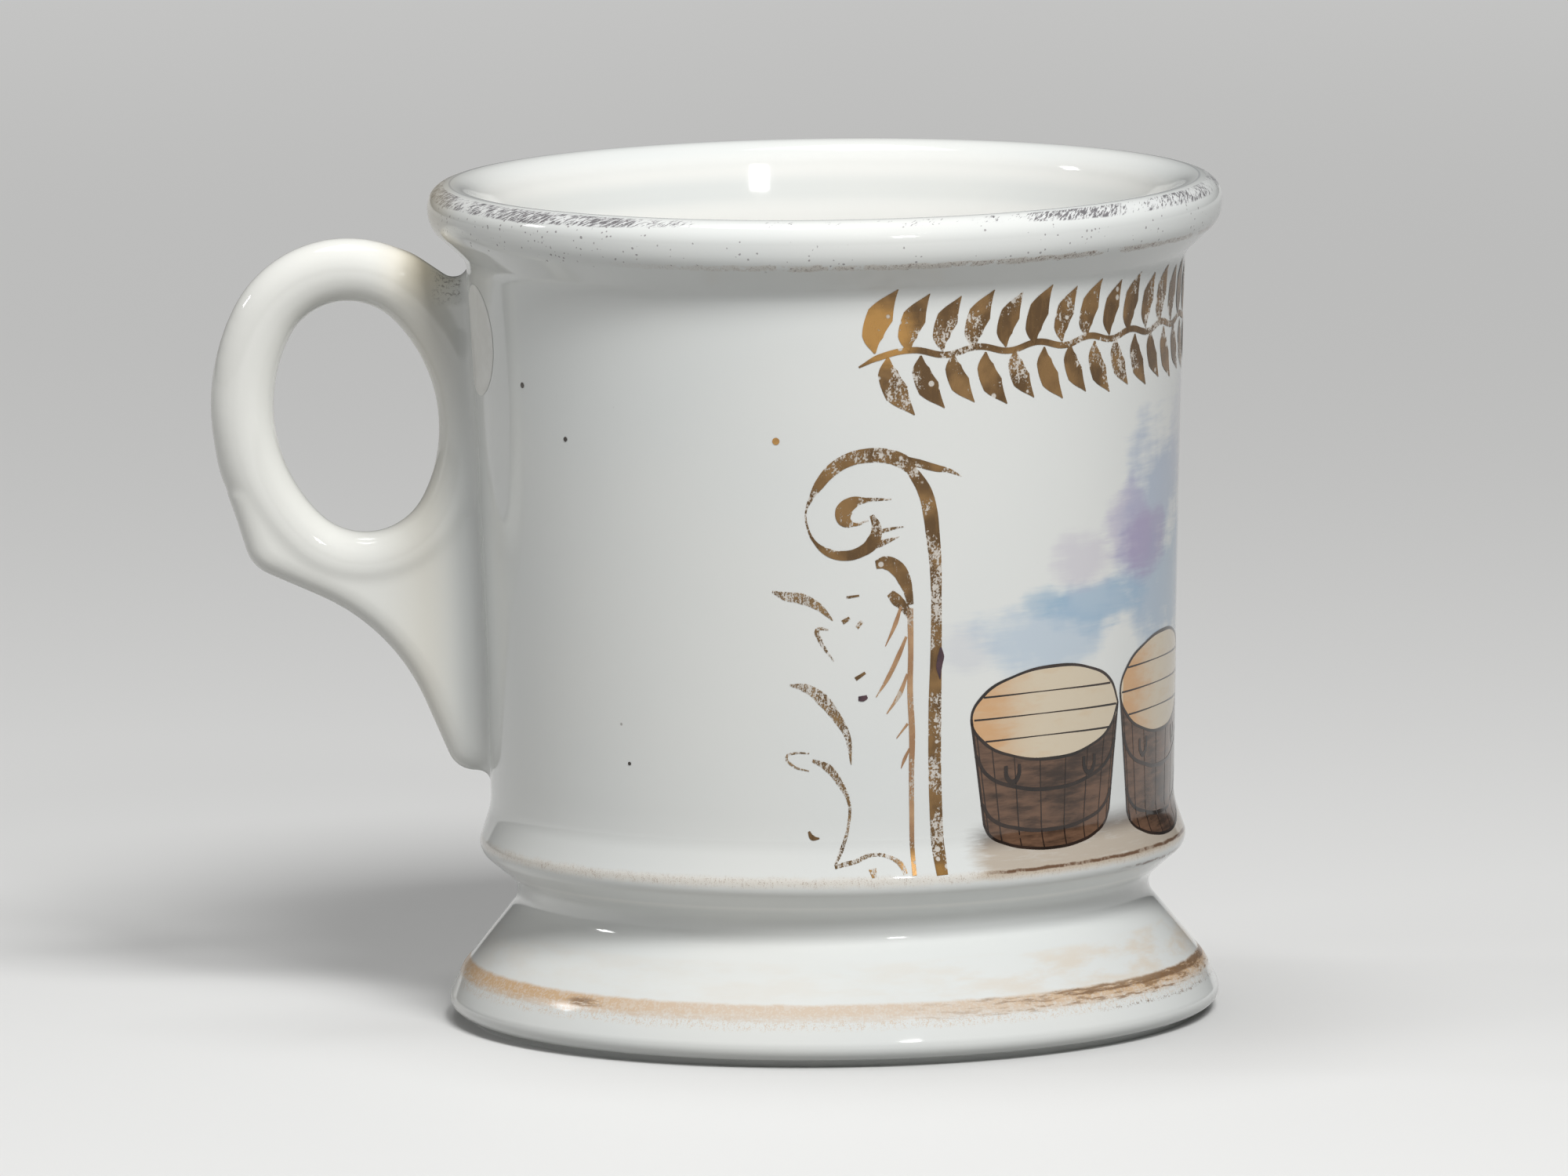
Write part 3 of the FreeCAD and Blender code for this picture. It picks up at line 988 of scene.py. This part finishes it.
def makeGilt(name, wearGroup, washGroup):
    dark, warm, soundWear, rubbedWear, thin, residue, fineness = giltFinishes[name]
    look = giltLook
    material, place = newMaterial(name)
    mirrored = mirroredWay(wayRound(place, wallMeanRadius * mm))
    at = {"place": place, "mirrored": mirrored, "height": splitUp(place)[2]}
    rubbed = strongestWash(washGroup, at, look["rubbedAt"])
    wear = useGroup(wearGroup, Place=stretched(place, fineness, fineness), Thin=thin,
                    Worn=scaled(rubbed, rubbedWear - soundWear, soundWear))
    brushed = noise(stretched(place, look["brushStretch"]), *look["brushMarks"])
    colour = mixColour(ramp(wear["Tone"], *look["tone"]), dark, warm)
    colour = mixColour(times(ramp(brushed, *look["brushEdge"]), look["brushShare"]), colour, warm)
    # Brighter gold on the first laurel pair, and a painted highlight on the gold at the scroll's foot
    bright = strongestWash(washGroup, at, look["brightGoldAndGlintAt"])
    colour = mixColour(times(bright, look["brightShare"]), colour, look["bright"])
    colour = mixColour(wear["Held"], look["stain"], colour)
    addShader({"Base Color": colour, "Metallic": times(wear["Held"], look["metallic"]),
               "Roughness": scaled(brushed, *look["roughness"]), "Alpha": most(wear["Held"], residue)})
    return material


tubs = [  # middle, foot height, half width at the foot, half width at the top, height, lid's half depth
    (27.2, 26.0, 9.4, 11.0, 12.0, 5.2),
    (50.2, 25.2, 9.7, 11.5, 13.8, 5.6),
    (73.4, 26.0, 9.2, 11.0, 12.4, 5.3),
    (96.4, 25.5, 9.6, 11.3, 13.0, 5.5),
]
tubLook = {
    "footDepth": 0.62,  # of the lid's half depth
    "boards": (-0.5, -0.02, 0.46),  # lines between the lid's boards, in half depths
    "boardReach": 0.97,
    "boardLine": [(-1.0, 0.0, 0.22), (-0.2, 0.1, 0.12), (1.0, -0.1, 0.24)],
    "rimLine": (0.28, 0.1),  # width, and what every other point adds
    "footLine": 0.3,
    "sideLine": (0.32, 0.26, 0.3),
    "ear": [(-0.9, 1.0, 0.5), (-0.7, -0.4, 0.55), (0.1, -0.9, 0.6), (0.8, -0.2, 0.55), (0.9, 1.1, 0.45)],
    "earOut": 0.52,
    "earDown": (0.85, 2.1),  # in half depths, and then in millimetres
    "hoops": (0.20, 0.66),
    "hoopLine": 0.42,
    "staves": 9,
    "staveLine": (0.12, 0.16),
    "arcSteps": 8,
    "hoopSteps": 6,
    "pitch": 23.1,  # of the peach shading on the lids
    "leftEdge": 16.2,
}


def arcPoints(middle, height, halfWidth, halfDepth, start, turn, steps):
    return [(middle + halfWidth * cos(start + turn * step / steps),
             height + halfDepth * sin(start + turn * step / steps)) for step in range(steps + 1)]


def ovalPoints(middle, height, halfWidth, halfDepth, count=12):
    return arcPoints(middle, height, halfWidth, halfDepth, 0, 2 * pi, count)[:-1]


def tubShapes():
    look = tubLook
    lids, sides, lines = [], [], []
    for middle, foot, footHalf, topHalf, tall, depth in tubs:
        top = foot + tall
        footDepth = depth * look["footDepth"]
        rim = ovalPoints(middle, top, topHalf, depth)
        lids.append(rim)
        lower = arcPoints(middle, foot, footHalf, footDepth, pi, pi, look["arcSteps"])
        sides.append(lower + arcPoints(middle, top, topHalf, depth, 0, -pi, look["arcSteps"]))
        width, swell = look["rimLine"]
        lines.append([(*point, width + swell * (step % 2)) for step, point in enumerate(rim + rim[:1])])
        lines.append([(*point, look["footLine"]) for point in lower])
        for share in look["boards"]:
            half = topHalf * sqrt(1 - share * share) * look["boardReach"]
            lines.append([(middle + half * across, top + depth * share + up, width)
                          for across, up, width in look["boardLine"]])
        for side in (-1, 1):
            edge = [(topHalf, top), ((topHalf + footHalf) / 2, (top + foot) / 2), (footHalf, foot)]
            lines.append([(middle + side * half, up, width)
                          for (half, up), width in zip(edge, look["sideLine"])])
            ear = middle + side * topHalf * look["earOut"]
            depths, drop = look["earDown"]
            level = top - depth * depths - drop
            lines.append([(ear + across, level + up, width) for across, up, width in look["ear"]])
        for share in look["hoops"]:
            hoop = arcPoints(middle, foot + tall * share, blend(footHalf, topHalf, share),
                             blend(footDepth, depth, share), pi, pi, look["hoopSteps"])
            lines.append([(*point, look["hoopLine"]) for point in hoop])
        highEnds = arcPoints(middle, top, topHalf, depth, pi, pi, look["staves"])[1:-1]
        lowEnds = arcPoints(middle, foot, footHalf, footDepth, pi, pi, look["staves"])[1:-1]
        highLine, lowLine = look["staveLine"]
        lines += [[(*high, highLine), (*low, lowLine)] for high, low in zip(highEnds, lowEnds)]
    return lids, sides, lines


enamels = {  # light and dark tone, scale and stretch of the grain, roughness
    "brown_enamel": ((0.17, 0.092, 0.055), (0.038, 0.021, 0.013), 300, 5, 0.12),
    "outline_enamel": ((0.035, 0.02, 0.014), (0.012, 0.008, 0.006), 300, 1, 0.12),
    "speck_gold": ((0.66, 0.37, 0.09), (0.40, 0.20, 0.05), 900, 1, 0.12),
    "speck_iron": ((0.06, 0.045, 0.035), (0.02, 0.015, 0.012), 900, 1, 0.12),
    "plum_enamel": ((0.085, 0.035, 0.045), (0.03, 0.012, 0.022), 900, 1, 0.12),
    "dot_paper": ((0.84, 0.84, 0.81), (0.77, 0.765, 0.73), 500, 1, 0.6),
}


enamelGrain = {"fine": (5, 0.6), "cloud": (110, 2), "edge": (0.36, 0.62)}


def makeEnamel(name):
    light, dark, scale, stretch, roughness = enamels[name]
    material, place = newMaterial(name)
    grain = noise(stretched(place, stretch), scale, *enamelGrain["fine"])
    share = plus(times(grain, 0.5), times(noise(place, *enamelGrain["cloud"]), 0.5))
    colour = mixColour(ramp(share, *enamelGrain["edge"]), dark, light)
    addShader({"Base Color": colour, "Roughness": roughness})
    return material


lidLook = {
    "peach": (0.64, 0.38, 0.19),
    "cream": (0.68, 0.585, 0.44),
    "grainTint": (0.64, 0.47, 0.29),
    "grain": (180, 4, 0.6),
    "grainStretch": 3.5,
    "streaks": (0.5, 0.7),
    "tinted": 0.35,
    "shade": (0.02, 0.42),  # from the lid's left edge, as a share of its width
    "roughness": 0.12,
}


def makeLidEnamel():
    # Cream, with a peach shade along the left edge of each lid
    material, place = newMaterial("cream_enamel")
    look = lidLook
    roundWay = wayRound(place, wallMeanRadius)  # in millimetres
    streaks = noise(stretched(place, look["grainStretch"]), *look["grain"])
    across = maths("DIVIDE", minus(roundWay, tubLook["leftEdge"]), tubLook["pitch"])
    across = maths("FRACT", plus(across, 1.0))
    across = plus(across, times(minus(streaks, 0.5), 0.5))
    colour = mixColour(ramp(across, *look["shade"]), look["peach"], look["cream"])
    colour = mixColour(times(ramp(streaks, *look["streaks"]), look["tinted"]), colour, look["grainTint"])
    addShader({"Base Color": colour, "Roughness": look["roughness"]})
    return material


dotShape = {"turn": -77.3, "height": 78.1, "radius": 6.25, "points": 16}


def makeDot():
    # Paper dot stuck on the wall beside the handle
    shape = dotShape
    middle = radians(shape["turn"]) * wallMeanRadius
    rim = ovalPoints(middle, shape["height"], shape["radius"], shape["radius"], shape["points"])
    return drawShapes("paper_dot", [rim], drawing["lifts"]["dot"])


studio = {
    "floorSize": 12,  # this and the lamps in metres
    "floorSeen": (0.76, 0.76, 0.75),
    "floorBounce": (0.34, 0.34, 0.335),
    "lamps": [  # name, place, size, power, whether the glaze mirrors it
        ("key", (0.34, -0.84, 1.07), 0.45, 16.4, False),
        ("keySpark", (0.42, -0.95, 0.66), 0.11, 1.3, True),
        ("side", (-1.00, -0.30, 0.45), 0.40, 1.5, False),
        ("sideSpark", (-0.95, 0.15, 0.55), 0.11, 0.8, True),
        ("top", (-0.10, 0.10, 1.25), 0.5, 4.4, True),
    ],
    "lampAim": (0, 0, 0.05),
    "worldLight": 0.075,
    "farGlow": 0.42,
    "glowReach": (0.2, 1.6),
    "glowTint": (1, 1, 0.99),
    "shade": 0.06,
    "shadeTint": (0.5, 0.5, 0.5),
    "roughness": 0.7,
}


def makeStudio():
    deselectAll()
    bpy.ops.mesh.primitive_plane_add(size=studio["floorSize"], location=(0, 0, 0))
    floor = bpy.context.object
    floor.name = "floor"
    material, place = newMaterial("floor_paper")
    rays = node("LightPath", {}, place.id_data).outputs
    seen = most(rays["Is Camera Ray"], rays["Is Glossy Ray"], rays["Is Transmission Ray"])
    colour = mixColour(seen, studio["floorBounce"], studio["floorSeen"])
    colour = mixColour(times(noise(place, 3, 3), studio["shade"]), colour, studio["shadeTint"])
    # The far floor is kept pale where the camera sees it
    away = lengthOf(place)
    glow = times(ramp(away, *studio["glowReach"]), seen)
    addShader({"Base Color": colour, "Roughness": studio["roughness"],
               "Emission Color": mixColour(glow, (0, 0, 0), studio["glowTint"]),
               "Emission Strength": studio["farGlow"]})
    floor.data.materials.append(material)
    for name, place, size, power, mirrored in studio["lamps"]:
        bpy.ops.object.light_add(type="AREA", location=place)
        lamp = bpy.context.object
        lamp.name = name
        lamp.data.size = size
        lamp.data.energy = power
        lamp.visible_glossy = mirrored
        lamp.rotation_mode = "QUATERNION"
        lamp.rotation_quaternion = (Vector(place) - Vector(studio["lampAim"])).to_track_quat("Z", "Y")
    world = bpy.data.worlds.new("studio")
    bpy.context.scene.world = world
    world.use_nodes = True
    background = world.node_tree.nodes["Background"]
    background.inputs["Color"].default_value = (1, 1, 1, 1)
    background.inputs["Strength"].default_value = studio["worldLight"]


view = {
    "elevation": 7.55,  # degrees above the horizon
    "roll": -0.75,  # the mug leans a little to the left in the picture
    "distance": 2064.6,
    "aim": (-5.15, 0.0, 48.34),
    "lens": 418.8,
    "sensor": 36.0,
    "clip": (0.1, 50),  # metres
}


def makeCamera():
    height = radians(view["elevation"])
    back = Vector((0, -cos(height), sin(height)))
    data = bpy.data.cameras.new("camera")
    camera = bpy.data.objects.new("camera", data)
    bpy.context.collection.objects.link(camera)
    camera.location = Vector(view["aim"]) * mm + back * view["distance"] * mm
    camera.rotation_mode = "QUATERNION"
    camera.rotation_quaternion = back.to_track_quat("Z", "Y") @ Quaternion((0, 0, 1), radians(view["roll"]))
    data.sensor_width = view["sensor"]
    data.lens = view["lens"]
    data.clip_start, data.clip_end = view["clip"]
    bpy.context.scene.camera = camera


def settle(piece, material):
    piece.data.materials.clear()
    piece.data.materials.append(material)
    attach(piece, "root")
    print(piece.name + ":", len(piece.data.polygons), "faces")


bpy.context.scene.view_settings.view_transform = "Standard"
wearGroup = makeWearGroup()
washGroup = makeWashGroup()
mug = makeMug()
settle(mug, makeGlaze(wearGroup, makeBandGroup(), washGroup))
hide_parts("shaving_mug")

lids, sides, lines = tubShapes()
lifts = drawing["lifts"]
settle(drawShapes("painted_sides", sides, lifts["sides"], "VECTOR"), makeEnamel("brown_enamel"))
settle(drawShapes("painted_lids", lids, lifts["lids"]), makeLidEnamel())
settle(drawStrokes("painted_lines", lines, lifts["lines"]), makeEnamel("outline_enamel"))
for pieceName, finish, extra in (("gilt_strokes", "worn_gilding", laurelStrokes()),
                                 ("rubbed_strokes", "rubbed_gilding", []),
                                 ("copper_strokes", "copper_gilding", [])):
    strokes = [points for name, points in scroll.items() if finishOf(name) == finish]
    settle(drawStrokes(pieceName, strokes + mirroredStrokes(strokes) + extra, lifts["gilding"]),
           makeGilt(finish, wearGroup, washGroup))
for pieceName, specks, lift, finish in (("gold_specks", goldSpecks, lifts["goldSpecks"], "speck_gold"),
                                        ("kiln_specks", kilnSpecks, lifts["kilnSpecks"], "speck_iron")):
    settle(drawShapes(pieceName, [ovalPoints(*speck) for speck in specks], lift), makeEnamel(finish))
settle(drawStrokes("plum_marks", plumMarks + mirroredStrokes(plumMarks), lifts["plumMarks"]),
       makeEnamel("plum_enamel"))
settle(makeDot(), makeEnamel("dot_paper"))
makeStudio()
makeCamera()
